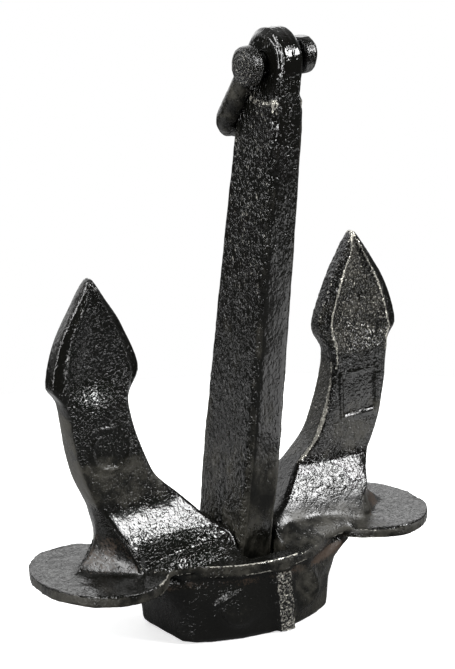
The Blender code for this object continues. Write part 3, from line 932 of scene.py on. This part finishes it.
class ANCHOR_OT_stage(bpy.types.Operator):
    """Set up the floor, lights, world and camera."""

    bl_idname = "anchor.stage"
    bl_label = "Stage"

    def execute(self, context):
        studio = context.scene.anchor_studio
        self.make_floor(studio)
        self.make_world(context.scene)
        self.make_lights(studio)
        self.make_camera(context.scene, studio)
        context.scene.view_settings.view_transform = "Standard"
        return {"FINISHED"}

    def make_lights(self, studio):
        """Three bright soft boxes for the highlights, and two dim panels for the flat faces."""
        middle = Vector((0.0, CROWN_Y, 0.25))
        key = middle + direction_to_light(math.radians(-37.0), math.radians(31.5)) * 2.2
        soft_box("key_light", key, middle, 0.8, 0.8, studio.key_radiance)
        side = Vector((0.0, CROWN_Y, 1.28)) + direction_to_light(math.radians(63.0), 0.0) * 2.0
        soft_box("side_light", side, Vector((0.0, CROWN_Y, side.z)), 0.4, 2.5, studio.side_radiance)
        high = middle + direction_to_light(math.radians(96.0), math.radians(46.0)) * 2.2
        soft_box("high_light", high, Vector((0.0, -0.06, 0.55)), 0.9, 0.5, studio.high_radiance)
        back = Vector((0.33, 1.1, 0.8))
        soft_box("back_panel", back, back - Vector((0.0, 1.0, 0.0)), 2.35, 0.8, studio.back_radiance)
        card = Vector((0.43, -0.316, 0.05))
        above = card + Vector((0.0, 0.0, 1.0))
        soft_box("low_card", card, above, 0.53, 0.35, studio.card_radiance, math.radians(-133.8))

    def make_floor(self, studio):
        """A plain round floor that keeps the anchor's shadow and shows white."""
        bm = bmesh.new()
        bmesh.ops.create_circle(bm, cap_ends=True, segments=96, radius=0.9)
        mesh = bpy.data.meshes.new("floor")
        bm.to_mesh(mesh)
        bm.free()
        floor = bpy.data.objects.new("floor", mesh)
        bpy.context.scene.collection.objects.link(floor)
        material, paint = new_material("floor")
        shown = paint.value("ShaderNodeBsdfDiffuse", {}, {"Color": (*studio.floor_colour, 1.0)})
        glow = paint.value("ShaderNodeEmission", {}, {"Strength": 0.6})
        shown = paint.value("ShaderNodeAddShader", {}, {0: shown, 1: glow})
        behind = paint.value("ShaderNodeSeparateXYZ", {}, {0: paint.place()}, "Y")
        greys = [paint.value("ShaderNodeBsdfDiffuse", {}, {"Color": (grey, grey, grey, 1.0)})
                 for grey in (0.11, 0.42)]
        lit = paint.blend(paint.between(behind, -0.1, 0.2), *greys)
        camera = paint.value("ShaderNodeLightPath", output="Is Camera Ray")
        paint.node("ShaderNodeOutputMaterial", {}, {"Surface": paint.blend(camera, lit, shown)})
        mesh.materials.append(material)

    def make_world(self, scene):
        """White where it is seen. What it lights with is white behind the anchor and dim in front."""
        world = bpy.data.worlds.new("studio")
        world.use_nodes = True
        scene.world = world
        paint = Paint(world.node_tree)
        direction = paint.value("ShaderNodeTexCoord", output="Generated")
        behind = paint.value("ShaderNodeSeparateXYZ", {}, {0: direction}, "Y")
        above = paint.value("ShaderNodeSeparateXYZ", {}, {0: direction}, "Z")
        level = paint.between(behind, -0.4, 0.4) * paint.between(above, -0.06, 0.08) * 0.35 + 0.05
        soft = paint.value("ShaderNodeBackground", {}, {"Color": (1.0, 1.0, 1.0, 1.0), "Strength": level})
        white = paint.value("ShaderNodeBackground", {}, {"Color": (1.0, 1.0, 1.0, 1.0), "Strength": 1.0})
        camera = paint.value("ShaderNodeLightPath", output="Is Camera Ray")
        paint.node("ShaderNodeOutputWorld", {}, {"Surface": paint.blend(camera, soft, white)})

    def make_camera(self, scene, studio):
        """A long lens at the height of the shank's middle."""
        camera = bpy.data.cameras.new("camera")
        camera.sensor_fit = "HORIZONTAL"
        camera.sensor_width = 36.0
        camera.lens = 203.7
        camera.clip_end = 50.0
        holder = bpy.data.objects.new("camera", camera)
        scene.collection.objects.link(holder)
        back = direction_to_light(studio.azimuth, studio.elevation)
        holder.location = Vector((0.0011, CROWN_Y - 0.0012, 0.2985)) + back * studio.distance
        holder.rotation_mode = "QUATERNION"
        turn = back.to_track_quat("Z", "Y")
        holder.rotation_quaternion = turn @ Quaternion((0.0, 0.0, 1.0), -studio.roll)
        scene.camera = holder


# ------------------------------------------------------------------ panel and running

class ANCHOR_PT_panel(bpy.types.Panel):
    """The anchor's pieces and settings."""

    bl_idname = "ANCHOR_PT_panel"
    bl_label = "Anchor"
    bl_space_type = "VIEW_3D"
    bl_region_type = "UI"
    bl_category = "Anchor"

    def draw(self, context):
        for group in ("anchor_casting", "anchor_paint", "anchor_studio"):
            settings = getattr(context.scene, group)
            box = self.layout.box()
            for name in settings.__annotations__:
                box.prop(settings, name)
        for operator in OPERATORS:
            self.layout.operator(operator.bl_idname)


OPERATORS = (ANCHOR_OT_head, ANCHOR_OT_shank, ANCHOR_OT_shackle, ANCHOR_OT_pins, ANCHOR_OT_stage)
CLASSES = (CastingSettings, PaintSettings, StudioSettings, *OPERATORS, ANCHOR_PT_panel)


def register():
    for cls in CLASSES:
        bpy.utils.register_class(cls)
    bpy.types.Scene.anchor_casting = PointerProperty(type=CastingSettings)
    bpy.types.Scene.anchor_paint = PointerProperty(type=PaintSettings)
    bpy.types.Scene.anchor_studio = PointerProperty(type=StudioSettings)


def unregister():
    del bpy.types.Scene.anchor_studio
    del bpy.types.Scene.anchor_paint
    del bpy.types.Scene.anchor_casting
    for cls in reversed(CLASSES):
        bpy.utils.unregister_class(cls)


def main():
    register()
    bpy.ops.anchor.head()
    bpy.ops.anchor.shank()
    bpy.ops.anchor.shackle()
    bpy.ops.anchor.pins()
    bpy.ops.anchor.stage()


if __name__ == "__main__":
    main()
